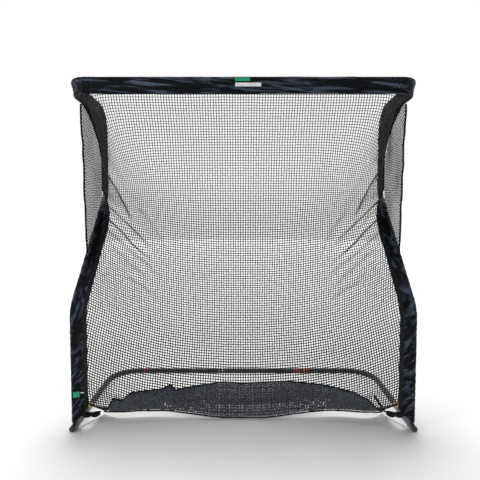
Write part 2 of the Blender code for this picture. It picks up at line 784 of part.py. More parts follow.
def build_nets():
    """Main net, front hem, folded apron and its hem."""
    surface = NetSurface()
    front = []
    back = []
    for row in range(NET_ROWS + 1):
        front.append([])
        back.append([])
        for column in range(NET_COLUMNS + 1):
            across = 2 * column / NET_COLUMNS - 1
            down = row / NET_ROWS
            point = surface.point(across, down)
            half = surface.normal(across, down) * NET_THICKNESS / 2
            front[-1].append(point + half)
            back[-1].append(point - half)
    sheet_solid("main_net", front, back, "netting")

    lay = []
    under = []
    first = APRON_TOP + APRON_FIRST_ROW
    net_rows = [row / NET_ROWS for row in range(NET_ROWS) if row / NET_ROWS > first]
    for row in range(len(net_rows) + 2):
        lay.append([])
        under.append([])
        for column in range(NET_COLUMNS + 1):
            across = APRON_REACH * (2 * column / NET_COLUMNS - 1)
            down = ([apron_top(across)] + net_rows + [APRON_FOOT])[row]
            point = surface.on_facets(across, down)
            normal = surface.normal(across, down)
            lay[-1].append(point + normal * (APRON_OFFSET + APRON_THICKNESS / 2))
            under[-1].append(point + normal * (APRON_OFFSET - APRON_THICKNESS / 2))
    sheet_solid("front_apron", lay, under, "netting")

    edge = []
    ground = []
    for column in range(NET_COLUMNS + 1):
        share = 2 * column / NET_COLUMNS - 1
        across = APRON_REACH * share
        down = apron_top(across)
        place = surface.on_facets(across, down)
        upward = (surface.on_facets(across, down - 0.01) - place).normalized()
        edge.append(place + surface.normal(across, down) * APRON_OFFSET
                    + upward * (APRON_HEM_R + 3 * GAP))
        foot = surface.point(share, 1)
        ground.append(Vector((foot.x, foot.y - 2 * HEM_CORD_R, HEM_CORD_R / cos(pi / HEM_SIDES) + GAP)))
    add_object("apron_hem", solid_loft("apron_hem", cord_rings(edge, APRON_HEM_R, HEM_SIDES)), "webbing")
    add_object("front_hem", solid_loft("front_hem", cord_rings(ground, HEM_CORD_R, HEM_SIDES)), "webbing")


# ---------------------------------------------------------------- corner straps
def box_ring(middle, wide, thick, size):
    """Rectangle with its sides along wide and thick."""
    half_wide = wide * size[0] / 2
    half_thick = thick * size[1] / 2
    return [middle - half_wide - half_thick, middle + half_wide - half_thick,
            middle + half_wide + half_thick, middle - half_wide + half_thick]


def build_straps():
    """A webbing strap from each leg's foot to the hem's corner, and the buckle on it."""
    for side_name, side in SIDES.items():
        knots = [Vector((side * x, y, z)) for x, y, z in STRAP_ROUTE]
        points = smooth_line(knots, 4)
        rings = []
        for number, point in enumerate(points):
            before = points[max(0, number - 1)]
            after = points[min(len(points) - 1, number + 1)]
            tangent = (after - before).normalized()
            thick = tangent.cross(UP).normalized()
            wide = thick.cross(tangent)
            rings.append(box_ring(point, wide, thick, (STRAP_WIDTH, STRAP_THICKNESS)))
        name = "corner_strap_" + side_name
        add_object(name, solid_loft(name, rings), "webbing")

        middle = len(points) // 2
        tangent = (points[middle + 1] - points[middle - 1]).normalized()
        thick = tangent.cross(UP).normalized()
        wide = thick.cross(tangent)
        outer = []
        inner = []
        for shift in (-0.5, 0.5):
            place = points[middle] + tangent * BUCKLE_LENGTH * shift
            outer.append(box_ring(place, wide, thick, BUCKLE_SIZE))
            inner.append(box_ring(place, wide, thick, BUCKLE_WINDOW))
        name = "strap_buckle_" + side_name
        add_object(name, hollow_loft(name, outer, inner), "cap")


def main():
    """Build the whole net."""
    clear_scene()
    tubes = build_frame()
    build_buttons(tubes)
    build_sleeves()
    build_side_nets()
    build_nets()
    build_straps()


main()
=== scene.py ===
"""Looks of the golf return net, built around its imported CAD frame.

Metres, +Z up, +X to the player's right, -Y towards the player. The nets are real strands on
one surface that hangs between the top bar, the sleeves' free edges and the ground. The sleeves
are wrinkled lofts round the tubes.
"""

import json
from math import cos, pi, radians, sin, sqrt, tan

import bmesh
import bpy
import numpy as np
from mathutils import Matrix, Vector


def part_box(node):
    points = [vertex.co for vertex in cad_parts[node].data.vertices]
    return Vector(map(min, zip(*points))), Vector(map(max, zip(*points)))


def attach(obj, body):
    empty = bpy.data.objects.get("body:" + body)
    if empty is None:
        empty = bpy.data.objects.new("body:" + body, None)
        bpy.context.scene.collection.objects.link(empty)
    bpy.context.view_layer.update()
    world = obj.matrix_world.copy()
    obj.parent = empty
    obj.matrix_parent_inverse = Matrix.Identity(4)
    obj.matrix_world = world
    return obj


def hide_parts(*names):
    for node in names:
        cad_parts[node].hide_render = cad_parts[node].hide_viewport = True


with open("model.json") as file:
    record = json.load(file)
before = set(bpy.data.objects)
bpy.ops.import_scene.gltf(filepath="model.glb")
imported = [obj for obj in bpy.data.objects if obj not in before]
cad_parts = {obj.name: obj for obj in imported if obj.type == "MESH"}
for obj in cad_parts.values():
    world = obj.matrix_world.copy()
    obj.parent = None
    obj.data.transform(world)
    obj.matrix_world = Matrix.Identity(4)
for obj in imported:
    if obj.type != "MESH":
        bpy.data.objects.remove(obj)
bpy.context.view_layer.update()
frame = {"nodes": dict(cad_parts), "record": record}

# ---------------------------------------------------------------- places from the frame
BODY = "frame"


def middle_of(node):
    """Middle of a CAD node's box."""
    low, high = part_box(node)
    return (low + high) / 2


TUBE_R = middle_of("rear_tube_right").z
SIDE_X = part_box("lower_upright_right")[1].x - TUBE_R
LEG_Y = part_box("lower_upright_right")[0].y + TUBE_R
UPRIGHT_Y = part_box("mid_upright_right")[1].y - TUBE_R
BAR_Y = middle_of("top_bar_right").y
BAR_Z = middle_of("top_bar_right").z
REAR_Y = middle_of("rear_tube_right").y
GROUND_SPLIT_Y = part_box("foot_tee_right")[1].y
REAR_SPLIT_X = 0.88
REAR_MIDDLE_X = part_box("rear_tube_right")[0].x + 0.070

# ---------------------------------------------------------------- sizes, metres
LEG_TOP_Z = 0.845
SLOPE_TOP_Z = LEG_TOP_Z + UPRIGHT_Y - LEG_Y
ARM_RISE = radians(4.2)
BEND_R = 0.20
TOP_BEND_R = 0.10
GROUND_BEND_R = 0.23

SLEEVE_R = 0.0225
SLEEVE_TAIL = 0.0935
SLEEVE_TIP = 0.0035
SLEEVE_HEM = 0.028        # width of the webbing bound round the side sleeves' edge
SLEEVE_FOOT_Z = 0.040
SLEEVE_FOOT_RISE = 0.095  # how much higher the slanted foot is at the sleeve's free edge
SLEEVE_STEP = 0.0085
SLEEVE_AROUND = 22
TUCK = 0.006              # how far nets and gussets reach in over the sleeves' free edge
SLEEVE_END_Y = -0.315
TWIST_LEAD = 0.30
TWIST_TRAIL = 0.12
TWIST_BEND_Y = 0.27

MESH = 0.019              # the net's mesh, knot to knot
STRAND_R = 0.0024         # half thickness of the twine
STRAND_SWELL = 0.0006     # how much fuller it gets below the first height, where the net is worn,
STRAND_SWELL_MORE = 0.6   # and this share of that again below the second
WORN_BELOW = (1.8, 0.9)
WORN_FADE = 0.5
NET_MIDDLE = ((-0.399, 2.395), (-0.385, 2.30), (-0.304, 2.16), (-0.226, 1.96), (-0.162, 1.67),
              (-0.095, 1.36), (-0.039, 1.045), (0.015, 0.75), (-0.02, 0.56), (-0.105, 0.40),
              (-0.335, 0.012))   # y and z down the net's middle
NET_CURVE = 2.5           # how late a low row runs out to the sides
NET_CURVE_TOP = 34.0      # the top rows stay with the bar for longer, by this much
NET_CURVE_FADE = 0.20
NET_PULL = 0.32           # the sides are drawn up by this much of the net's length
NET_FOOT_Z = 0.16
HEM_CORNER = (1.04, -0.25, 0.012)
HEM_Z = 0.012
HEM_LIFT = 0.036          # how far the foot rises between its middle and its corners
FOOT_BOW = 0.050          # how far the foot's middle stands forward of its quarters
HEM_CORD_R = 0.006
ACROSS_STEPS = 160
KNOT_SHIFT = 0.0007       # how unevenly the knots sit

SIDE_HEM_WIDTH = 0.030
SIDE_HEM_THICKNESS = 0.005
SIDE_HEM_TOP = (-0.232, 2.290)    # y and z
SIDE_HEM_FOOT = (-0.166, 1.196)
SLOPE_CLEAR = 0.024
GUSSET_START_Y = -0.20
GUSSET_FOOT_Z = 1.90
GUSSET_RISE = 0.068

APRON_TOP = (   # x and height of its edge
    (-1.01, 0.03), (-0.96, 0.12), (-0.93, 0.175), (-0.88, 0.150), (-0.81, 0.205), (-0.61, 0.198),
    (-0.54, 0.222), (-0.50, 0.185), (-0.35, 0.203), (-0.15, 0.222), (0.0, 0.213), (0.34, 0.230),
    (0.62, 0.225), (0.80, 0.205), (0.90, 0.160), (1.02, 0.03))
APRON_LAYERS = (   # lift off the net, roughness, and whether the mesh lies diagonally
    (0.010, 0.004, 0), (0.017, 0.006, 1), (0.025, 0.008, 0), (0.034, 0.009, 1), (0.040, 0.009, 0))

APRON_STRAND_R = 0.0020
APRON_HALF = 0.985
APRON_DEPTH = 0.30
APRON_STEP = 0.014

STRAP_WIDTH = 0.025
STRAP_ROUTE = ((1.145, -0.428, 0.082), (1.10, -0.375, 0.050), (1.055, -0.305, 0.026))

TIE_START = (1.052, -0.300, 0.030)
TIE_X = (1.015, 0.975, 0.930)
TIE_Z = (0.075, 0.140, 0.206)

TUBE_SIDES = 40           # of the smooth tubes drawn over the ground frame
TAPE_LIFT = 0.0005
STICKER_R = TUBE_R + 0.0008
LABEL_LIFT = 0.0032
LABEL_THICKNESS = 0.0012
REAR_STICKERS = ((0.486, "red"), (0.522, "red"), (0.562, "orange"), (0.598, "red"))

SIDES = (("left", -1), ("right", 1))
ACROSS = np.array((1.0, 0.0, 0.0))
UP = np.array((0.0, 0.0, 1.0))
BAR_NORMAL = np.array((0.0, sin(ARM_RISE), cos(ARM_RISE)))


# ---------------------------------------------------------------- lines
ARC_STEPS = 16
CURVE_STEPS = 12


def arm_height(y):
    """Height of the top arm's axis above a place along the depth."""
    return BAR_Z - (y - BAR_Y) * tan(ARM_RISE)


def unit(vectors):
    """Vectors scaled to length 1."""
    vectors = np.asarray(vectors, float)
    return vectors / np.maximum(np.linalg.norm(vectors, axis=-1, keepdims=True), 1e-12)


def along(points):
    """Distance along a line of points, from the first."""
    steps = np.linalg.norm(np.diff(points, axis=0), axis=1)
    return np.concatenate(([0.0], np.cumsum(steps)))


def at_distance(points, wanted):
    """Points at the wanted distances along a line."""
    reach = along(points)
    return np.stack([np.interp(wanted, reach, points[:, axis]) for axis in range(3)], axis=1)


def evenly(points, step):
    """The line again, with a point about every step metres."""
    length = along(points)[-1]
    count = max(2, int(round(length / step)) + 1)
    return at_distance(points, np.linspace(0, length, count))


def tangents(points):
    """Unit tangent at each point of a line."""
    return unit(np.gradient(points, axis=0))


def rounded(corners, radii):
    """Straight runs through the corners, with a round bend of each radius at the inner ones."""
    corners = [np.array(corner, float) for corner in corners]
    line = [corners[0]]
    for before, corner, after, radius in zip(corners, corners[1:], corners[2:], radii):
        inward = unit(corner - before)
        onward = unit(after - corner)
        angle = np.arccos(np.clip(inward @ onward, -1, 1))
        reach = radius * tan(angle / 2)
        start = corner - inward * reach
        side = unit(onward - inward * (inward @ onward))
        for step in range(ARC_STEPS + 1):
            turn = angle * step / ARC_STEPS
            line.append(start + inward * radius * sin(turn) + side * radius * (1 - cos(turn)))
    line.append(corners[-1])
    return np.array(line)


def smooth_line(points):
    """Smooth curve through the points."""
    points = [np.array(point, float) for point in points]
    padded = [2 * points[0] - points[1]] + points + [2 * points[-1] - points[-2]]
    result = []
    for number in range(1, len(padded) - 2):
        before, start, end, after = padded[number - 1:number + 3]
        for step in range(CURVE_STEPS):
            t = step / CURVE_STEPS
            result.append(0.5 * (2 * start + (end - before) * t
                                 + (2 * before - 5 * start + 4 * end - after) * t ** 2
                                 + (3 * start - before - 3 * end + after) * t ** 3))
    result.append(points[-1])
    return np.array(result)


def ease(value):
    """Smooth step from 0 to 1."""
    value = np.clip(value, 0.0, 1.0)
    return value * value * (3 - 2 * value)


def noise(x, y, seed):
    """Smooth noise from -1 to 1 on a unit lattice."""
    table = np.random.default_rng(seed).uniform(-1, 1, (64, 64))
    x = np.asarray(x, float)
    y = np.asarray(y, float)
    column = np.floor(x).astype(int)
    row = np.floor(y).astype(int)
    u = ease(x - column)
    v = ease(y - row)

    def value(i, j):
        return table[(column + i) % 64, (row + j) % 64]

    low = value(0, 0) * (1 - u) + value(1, 0) * u
    high = value(0, 1) * (1 - u) + value(1, 1) * u
    return low * (1 - v) + high * v


# ---------------------------------------------------------------- meshes
def add_mesh(name, points, faces, paint, replaced=(), smooth=True):
    """A piece of the object from points and faces, finished and riding on the frame."""
    mesh = bpy.data.meshes.new(name)
    mesh.from_pydata(np.asarray(points, float).tolist(), [], faces)
    work = bmesh.new()
    work.from_mesh(mesh)
    bmesh.ops.recalc_face_normals(work, faces=work.faces)
    work.to_mesh(mesh)
    work.free()
    if smooth:
        mesh.shade_smooth()
        mesh.set_sharp_from_angle(angle=radians(50))
    piece = bpy.data.objects.new(name, mesh)
    bpy.context.scene.collection.objects.link(piece)
    mesh.materials.append(paint)
    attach(piece, BODY)
    if replaced:
        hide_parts(*replaced)
    return piece


def ring_faces(ring_count, ring_size, start=0):
    """Quads along a run of closed rings, with flat ends."""
    faces = []
    for number in range(ring_count - 1):
        low = start + number * ring_size
        for step in range(ring_size):
            after = (step + 1) % ring_size
            faces.append((low + step, low + after, low + ring_size + after, low + ring_size + step))
    faces.append(tuple(start + step for step in range(ring_size))[::-1])
    last = start + (ring_count - 1) * ring_size
    faces.append(tuple(last + step for step in range(ring_size)))
    return faces


def tube_rings(line, radius, sides, normal):
    """Round rings along a line; radius may change along it."""
    way = tangents(line)
    side = unit(np.cross(way, normal))
    lift = np.cross(side, way)
    turn = np.arange(sides) * 2 * pi / sides
    radius = np.broadcast_to(np.asarray(radius, float), (len(line),))[:, None, None]
    spokes = (side[:, None, :] * np.cos(turn)[None, :, None]
              + lift[:, None, :] * np.sin(turn)[None, :, None])
    return line[:, None, :] + spokes * radius


def add_tube(name, line, radius, sides, normal, paint, replaced=()):
    """A round solid along a line."""
    rings = tube_rings(line, radius, sides, normal)
    return add_mesh(name, rings.reshape(-1, 3), ring_faces(len(line), sides), paint, replaced)


def add_strands(name, lines, paint, radius=STRAND_R, replaced=(), normal=(0.0, -1.0, 0.25)):
    """Many thin four-sided strands as one piece."""
    points = []
    faces = []
    start = 0
    for line in lines:
        if len(line) < 2:
            continue
        line = np.asarray(line)
        full = radius(line) if callable(radius) else radius
        rings = tube_rings(line, full, 4, unit(normal))
        points.append(rings.reshape(-1, 3))
        faces += ring_faces(len(line), 4, start)
        start += 4 * len(line)
    return add_mesh(name, np.concatenate(points), faces, paint, replaced, smooth=False)


def strand_area(lines, radius=STRAND_R):
    """Surface of the strands on one side, for a net's flat area; radius may be a function."""
    total = 0.0
    for line in lines:
        points = np.asarray(line)
        half = radius(points) if callable(radius) else np.full(len(points), radius)
        total += float(np.sum(np.diff(along(points)) * (half[1:] + half[:-1]) / 2))
    return total * 2 * sqrt(2)


def add_band(name, line, wide, width, thickness, paint, replaced=()):
    """A flat band along a line, with rounded edges; wide points along its width."""
    wide = np.broadcast_to(np.asarray(wide, float), line.shape)
    way = tangents(line)
    thick = unit(np.cross(way, wide))
    wide = unit(np.cross(thick, way))
    section = ((-1, 0), (-0.97, 0.7), (-0.88, 1), (-0.3, 0.92), (0.3, 0.92), (0.88, 1), (0.97, 0.7),
               (1, 0), (0.97, -0.7), (0.88, -1), (0.3, -0.92), (-0.3, -0.92), (-0.88, -1),
               (-0.97, -0.7))
    rings = [line + wide * (u * width / 2) + thick * (v * thickness / 2) for u, v in section]
    rings = np.stack(rings, axis=1)
    faces = ring_faces(len(line), len(section))
    return add_mesh(name, rings.reshape(-1, 3), faces, paint, replaced)


def add_cloth(name, grid, thickness, paint, replaced=()):
    """A thin closed sheet on a grid of points."""
    rows, columns = grid.shape[:2]
    normal = unit(np.cross(np.gradient(grid, axis=0), np.gradient(grid, axis=1)))
    push = normal * thickness / 2
    points = np.concatenate((grid + push, grid - push)).reshape(-1, 3)
    count = rows * columns
    faces = []
    for row in range(rows - 1):
        for column in range(columns - 1):
            low = row * columns + column
            quad = (low, low + 1, low + columns + 1, low + columns)
            faces.append(quad)
            faces.append(tuple(corner + count for corner in quad[::-1]))
    rim = list(range(columns)) + [row * columns + columns - 1 for row in range(1, rows)]
    rim += list(range(count - 2, count - columns - 1, -1))
    rim += [row * columns for row in range(rows - 2, 0, -1)]
    for here, after in zip(rim, rim[1:] + rim[:1]):
        faces.append((here, after, after + count, here + count))
    return add_mesh(name, points, faces, paint, replaced)


# ---------------------------------------------------------------- materials
def shader_of(paint):
    """The material's Principled shader."""
    return paint.node_tree.nodes["Principled BSDF"]


def new_paint(name, colour, roughness, metallic=0.0, **sockets):
    """A Principled material; sockets are set by name on the shader itself."""
    paint = bpy.data.materials.new(name)
    paint.use_nodes = True
    shader = shader_of(paint)
    shader.inputs["Base Color"].default_value = (*colour, 1.0)
    shader.inputs["Roughness"].default_value = roughness
    shader.inputs["Metallic"].default_value = metallic
    for socket, value in sockets.items():
        shader.inputs[socket.replace("_", " ")].default_value = value
    return paint


def add_node(paint, kind, **values):
    """A node in the material; values go to its inputs by name, or to its own settings."""
    node = paint.node_tree.nodes.new(kind)
    for key, value in values.items():
        name = key.replace("_", " ")
        if name in node.inputs:
            node.inputs[name].default_value = value
        else:
            setattr(node, key, value)
    return node


def link(paint, source, target):
    """Join two sockets."""
    paint.node_tree.links.new(source, target)


def object_place(paint):
    """The piece's own coordinates, in metres."""
    return add_node(paint, "ShaderNodeTexCoord").outputs["Object"]


def noise_node(paint, **values):
    """Noise over the piece's own coordinates."""
    cloud = add_node(paint, "ShaderNodeTexNoise", **values)
    link(paint, object_place(paint), cloud.inputs["Vector"])
    return cloud


def two_tone(paint, cloud, dark, light, start, end):
    """Colour from dark to light between two levels of a noise node."""
    ramp = add_node(paint, "ShaderNodeValToRGB")
    for element, place, colour in zip(ramp.color_ramp.elements, (start, end), (dark, light)):
        element.position = place
        element.color = (*colour, 1.0)
    link(paint, cloud.outputs["Fac"], ramp.inputs["Fac"])
    link(paint, ramp.outputs["Color"], shader_of(paint).inputs["Base Color"])


def add_bump(paint, height, strength, depth):
    """Bump from a node's Fac output, on top of any bump that the shader has."""
    normal = shader_of(paint).inputs["Normal"]
    bump = add_node(paint, "ShaderNodeBump", Strength=strength, Distance=depth)
    link(paint, height.outputs["Fac"], bump.inputs["Height"])
    if normal.is_linked:
        link(paint, normal.links[0].from_socket, bump.inputs["Normal"])
    link(paint, bump.outputs["Normal"], normal)


def vary_colour(paint, dark, light, scale):
    """Let the colour wander between two values over the piece."""
    two_tone(paint, noise_node(paint, Scale=scale, Detail=4.0), dark, light, 0.35, 0.65)


def painted_crease_light(paint, turn, stretch, dark, light):
    """Creased cloth: painted highlights as narrow ridges drawn out in one direction, between broad
    hollows of painted shade, with a bump to match.
    """
    cloud = add_node(paint, "ShaderNodeTexNoise", Scale=1.0, Detail=3.0, Distortion=0.6)
    lay = add_node(paint, "ShaderNodeMapping", vector_type="TEXTURE", Rotation=turn,
                   Scale=[1 / part for part in stretch])
    link(paint, object_place(paint), lay.inputs["Vector"])
    link(paint, lay.outputs["Vector"], cloud.inputs["Vector"])
    # colour runs from painted shade in the hollows to a painted highlight on the ridges
    two_tone(paint, cloud, dark, light, 0.50, 0.68)
    add_bump(paint, cloud, 0.8, 0.008)


def vary_roughness(paint, low, high, scale):
    """Let the roughness wander between two values."""
    cloud = noise_node(paint, Scale=scale, Detail=3.0)
    spread = add_node(paint, "ShaderNodeMapRange", To_Min=low, To_Max=high)
    link(paint, cloud.outputs["Fac"], spread.inputs["Value"])
    link(paint, spread.outputs["Result"], shader_of(paint).inputs["Roughness"])


def weave_bump(paint, pitch, depth, strength=0.6):
    """Crossed fine ribs, the pitch apart."""
    for direction in ("X", "Y", "Z"):
        wave = add_node(paint, "ShaderNodeTexWave", Scale=0.05 / pitch, bands_direction=direction,
                        Distortion=0.4, Detail=1.0)
        link(paint, object_place(paint), wave.inputs["Vector"])
        add_bump(paint, wave, strength, depth)


def noise_bump(paint, scale, depth, strength=0.5):
    """Fine uneven surface."""
    add_bump(paint, noise_node(paint, Scale=scale, Detail=3.0), strength, depth)


def make_paints():
    """Every material by name."""
    paints = {}
    for name, turn, stretch in (("sleeve_side", (radians(35), radians(-50), 0.0), (10.0, 10.0, 50.0)),
                                ("sleeve_top", (0.0, radians(5), 0.0), (4.0, 40.0, 48.0))):
        sleeve = new_paint("woven_" + name, (0.010, 0.013, 0.020), 0.50, Specular_IOR_Level=0.12)
        # the sleeve's creases are painted light: the dark colour is painted shade in the hollows, the
        # light one a painted highlight along the ridges
        painted_crease_light(sleeve, turn, stretch, (0.0022, 0.0028, 0.0048), (0.066, 0.086, 0.122))
        vary_roughness(sleeve, 0.42, 0.70, 30.0)
        weave_bump(sleeve, 0.0011, 0.00025)
        noise_bump(sleeve, 45.0, 0.006, 0.9)
        paints[name] = sleeve

    gusset = new_paint("gusset_mesh", (0.006, 0.006, 0.008), 0.85, Specular_IOR_Level=0.2)
    vary_colour(gusset, (0.004, 0.004, 0.005), (0.010, 0.010, 0.012), 25.0)
    weave_bump(gusset, 0.0022, 0.0004)
    paints["gusset"] = gusset

    webbing = new_paint("webbing", (0.006, 0.006, 0.008), 0.70, Specular_IOR_Level=0.25)
    vary_colour(webbing, (0.003, 0.003, 0.004), (0.009, 0.009, 0.011), 40.0)
    weave_bump(webbing, 0.0016, 0.0004, 0.8)
    paints["webbing"] = webbing

    net = new_paint("net_twine", (0.008, 0.009, 0.011), 0.72, Specular_IOR_Level=0.3)
    vary_colour(net, (0.005, 0.0055, 0.007), (0.012, 0.013, 0.016), 80.0)
    noise_bump(net, 900.0, 0.0003, 0.8)
    paints["net"] = net

    # The apron's twine is the main net's twine painted far lighter and bluer: painted light standing in
    # for the sheen its folded layers catch.
    worn = new_paint("net_twine_folded_painted_light", (0.030, 0.034, 0.040), 0.80, Specular_IOR_Level=0.3)
    vary_colour(worn, (0.034, 0.039, 0.048), (0.180, 0.204, 0.238), 130.0)
    noise_bump(worn, 900.0, 0.0003, 0.8)
    paints["worn_net"] = worn

    tube = new_paint("powder_coat", (0.030, 0.035, 0.044), 0.38, Coat_Weight=0.2, Coat_Roughness=0.3)
    vary_colour(tube, (0.022, 0.026, 0.034), (0.036, 0.041, 0.052), 14.0)
    vary_roughness(tube, 0.30, 0.50, 45.0)
    noise_bump(tube, 700.0, 0.0002, 0.35)
    paints["tube"] = tube

    plastic = new_paint("moulded_plastic", (0.030, 0.033, 0.038), 0.45)
    vary_roughness(plastic, 0.35, 0.6, 120.0)
    noise_bump(plastic, 1200.0, 0.00015, 0.4)
    paints["plastic"] = plastic

    steel = new_paint("spring_steel", (0.62, 0.63, 0.65), 0.30, 1.0)
    vary_roughness(steel, 0.22, 0.42, 300.0)
    noise_bump(steel, 1500.0, 0.0001, 0.3)
    paints["steel"] = steel

    tapes = {"yellow": (0.80, 0.55, 0.02), "red": (0.55, 0.03, 0.02), "magenta": (0.55, 0.05, 0.22),
             "pale": (0.62, 0.64, 0.66), "orange": (0.75, 0.20, 0.03), "green": (0.01, 0.36, 0.16),
             "white": (0.78, 0.80, 0.80)}
    for name, colour in tapes.items():
        tape = new_paint("tape_" + name, colour, 0.45)
        vary_colour(tape, tuple(0.85 * part for part in colour), colour, 60.0)
        noise_bump(tape, 800.0, 0.0001, 0.3)
        paints[name] = tape
    return paints


# ---------------------------------------------------------------- the side frames' lines
def side_line(side, step):
    """Centre line of a side frame from the foot of its sleeve round to the front of the top arm."""
    x = side * SIDE_X
    corners = ((x, LEG_Y, SLEEVE_FOOT_Z), (x, LEG_Y, LEG_TOP_Z), (x, UPRIGHT_Y, SLOPE_TOP_Z),
               (x, UPRIGHT_Y, arm_height(UPRIGHT_Y)), (x, SLEEVE_END_Y, arm_height(SLEEVE_END_Y)))
    return evenly(rounded(corners, (BEND_R, BEND_R, BEND_R)), step)


def tail_turn(line):
    """How far the sleeve's tail has turned: 0 inward across, 1 to the inside of the C."""
    reach = along(line)
    bend = reach[np.argmax(line[:, 1] > TWIST_BEND_Y)]
    return ease((reach - bend + TWIST_LEAD) / (TWIST_LEAD + TWIST_TRAIL))


def inner_way(line):
    """Direction to the inside of the C at each point of the line."""
    way = tangents(line)
    return np.stack([np.zeros(len(way)), -way[:, 2], way[:, 1]], axis=1)


def tail_way(side, line):
    """Direction of the sleeve's tail at each point of the line."""
    angle = tail_turn(line)[:, None] * pi / 2
    return -side * ACROSS * np.cos(angle) + inner_way(line) * np.sin(angle)


# ---------------------------------------------------------------- main net
def net_edge_line():
    """The main net's right edge from the top bar's end, round the side frame, to the hem's corner."""
    line = side_line(1, 0.02)
    edge = line + tail_way(1, line) * (SLEEVE_TAIL - TUCK)
    edge = edge[edge[:, 2] > NET_FOOT_Z][::-1]
    foot = (SIDE_X - SLEEVE_TAIL, LEG_Y, NET_FOOT_Z)
    start = (SIDE_X - SLEEVE_R, BAR_Y + 0.06, BAR_Z - SLEEVE_TAIL)
    return np.concatenate(([start], edge, [foot, HEM_CORNER]))


def corner_distance(edge):
    """Distance along the net's edge to the rear upper corner."""
    reach = along(edge)
    corner = np.argmax(edge[:, 1] + edge[:, 2])
    return reach[corner]


FOLDS = (
    # start x, z; end x, z; sag; depth; width; how much of the net is drawn into the fold
    (1.12, 1.86, 0.84, 1.33, 0.012, 0.016, 0.040, 0.62),
    (1.12, 1.57, 0.68, 1.20, 0.006, 0.014, 0.026, 0.70),
    (1.12, 1.53, 0.88, 1.32, 0.004, 0.008, 0.012, 0.70),
    (1.12, 1.46, 0.66, 1.06, 0.008, 0.018, 0.024, 0.88),
    (1.08, 1.34, 0.60, 0.95, 0.006, 0.010, 0.028, 0.42),
    (0.88, 0.98, 0.66, 0.82, 0.006, 0.008, 0.026, 0.36),
    (0.80, 1.50, 0.57, 1.09, 0.030, 0.008, 0.034, 0.32),
    (1.00, 1.20, 0.70, 0.92, 0.010, 0.006, 0.030, 0.32),
)


def add_folds(line):
    """Push the line forward along the folds, and draw its points into them."""
    x = line[:, 0].copy()
    z = line[:, 2].copy()
    for number, (x0, z0, x1, z1, sag, depth, width, drawn) in enumerate(FOLDS):
        for side in (-1, 1):
            shift = 0.015 * side * sin(7.0 * number + 1.0)
            start = np.array((side * x0, z0 + shift))
            end = np.array((side * x1, z1 + shift))
            run = end - start
            length = np.linalg.norm(run)
            run = run / length
            across = np.array((-run[1], run[0])) * side
            share = ((x - start[0]) * run[0] + (z - start[1]) * run[1]) / length
            off = (x - start[0]) * across[0] + (z - start[1]) * across[1]
            off = off + sag * 4 * share * (1 - share) + 0.006 * noise(share * 6 + number, share * 0, 90)
            taper = ease(share * 12 + 1.0) * ease((1 - share) * 2.6)
            taper = np.where((share < -0.08) | (share > 1), 0.0, taper)
            bell = taper * np.exp(-(off / width) ** 2)
            line[:, 1] -= depth * bell
            line[:, 0] -= off * drawn * bell * across[0]
            line[:, 2] -= off * drawn * bell * across[1]


class Net:
    """The main net as rows of points a mesh apart, laid on its hanging surface."""

    def __init__(self):
        self.edge = net_edge_line()
        self.edge_corner = corner_distance(self.edge)
        self.edge_length = along(self.edge)[-1]
        self.middle = smooth_line([(0.0, y, z) for y, z in NET_MIDDLE])
        self.middle_length = along(self.middle)[-1]

    def middle_at(self, distance):
        """Point down the net's middle; past the hem it runs on under the ground."""
        past = np.maximum(distance - self.middle_length, 0)[..., None]
        points = at_distance(self.middle, np.atleast_1d(np.minimum(distance, self.middle_length)))
        return points + past * np.array((0, 0.6, -0.8))

    def edge_at(self, distance):
        """Point on the right edge for the row at this distance down the middle."""
        pulled = distance - NET_PULL * ease((distance - 0.25) / 0.85)
        return at_distance(self.edge, np.atleast_1d(self.edge_corner + pulled))

    def surface(self, across, distance):
        """Points for arrays of across, -1 to 1, and distance down the middle, without folds."""
        middle = self.middle_at(distance)
        edge = self.edge_at(distance)
        bend = np.abs(across) ** (NET_CURVE + NET_CURVE_TOP * np.exp(-distance / NET_CURVE_FADE))
        y = middle[:, 1] + (edge[:, 1] - middle[:, 1]) * bend
        z = middle[:, 2] + (edge[:, 2] - middle[:, 2]) * bend
        bow = ease((np.abs(across) - 0.10) / 0.50) * ease((1.06 - np.abs(across)) / 0.25)
        y = y + FOOT_BOW * bow * ease((0.40 - z) / 0.38)
        return np.stack([across * edge[:, 0], y, z], axis=1)

    def row(self, distance):
        """Fine line of points along one row, with folds and small unevenness."""
        across = np.sin(np.linspace(-pi / 2, pi / 2, 2 * ACROSS_STEPS + 1))
        line = self.surface(across, np.full_like(across, distance))
        calm = ease((1 - np.abs(across)) * 6)
        push = 0.010 * calm * noise(line[:, 0] * 4 + 20, line[:, 2] * 3 + 20, 3)
        push += 0.004 * calm * noise(line[:, 0] * 14 + 40, line[:, 2] * 11 + 40, 4)
        line[:, 1] -= push
        add_folds(line)
        return line

    def rows(self):
        """Each row as its column numbers, its knots and its left and right ends."""
        count = int((self.edge_length - self.edge_corner + NET_PULL) / MESH)
        made = []
        for number in range(count + 1):
            line = self.row(number * MESH)
            reach = along(line)
            reach = reach - reach[ACROSS_STEPS]
            first = int(np.ceil(reach[0] / MESH))
            last = int(np.floor(reach[-1] / MESH))
            columns = np.arange(first, last + 1)
            wanted = columns * MESH
            knots = np.stack([np.interp(wanted, reach, line[:, axis]) for axis in range(3)], axis=1)
            made.append((columns, knots, line[0], line[-1]))
        return made


def worn_radius(line):
    """Half thickness of the main net's twine along a line, fuller low down."""
    worn, more = (ease((height - line[:, 2]) / WORN_FADE) for height in WORN_BELOW)
    return STRAND_R + STRAND_SWELL * (worn + STRAND_SWELL_MORE * more)


def kept_runs(points, keep):
    """The stretches of a line whose points are kept, where two or more follow each other."""
    ends = np.flatnonzero(np.diff(np.concatenate(([False], keep, [False])).astype(int)))
    return [points[first:last] for first, last in zip(ends[::2], ends[1::2]) if last - first > 1]


def runs_above(points):
    """The stretches of a line that lie above the net's foot."""
    points = np.reshape(points, (-1, 3))
    return kept_runs(points, points[:, 2] > hem_height(points[:, 0]))


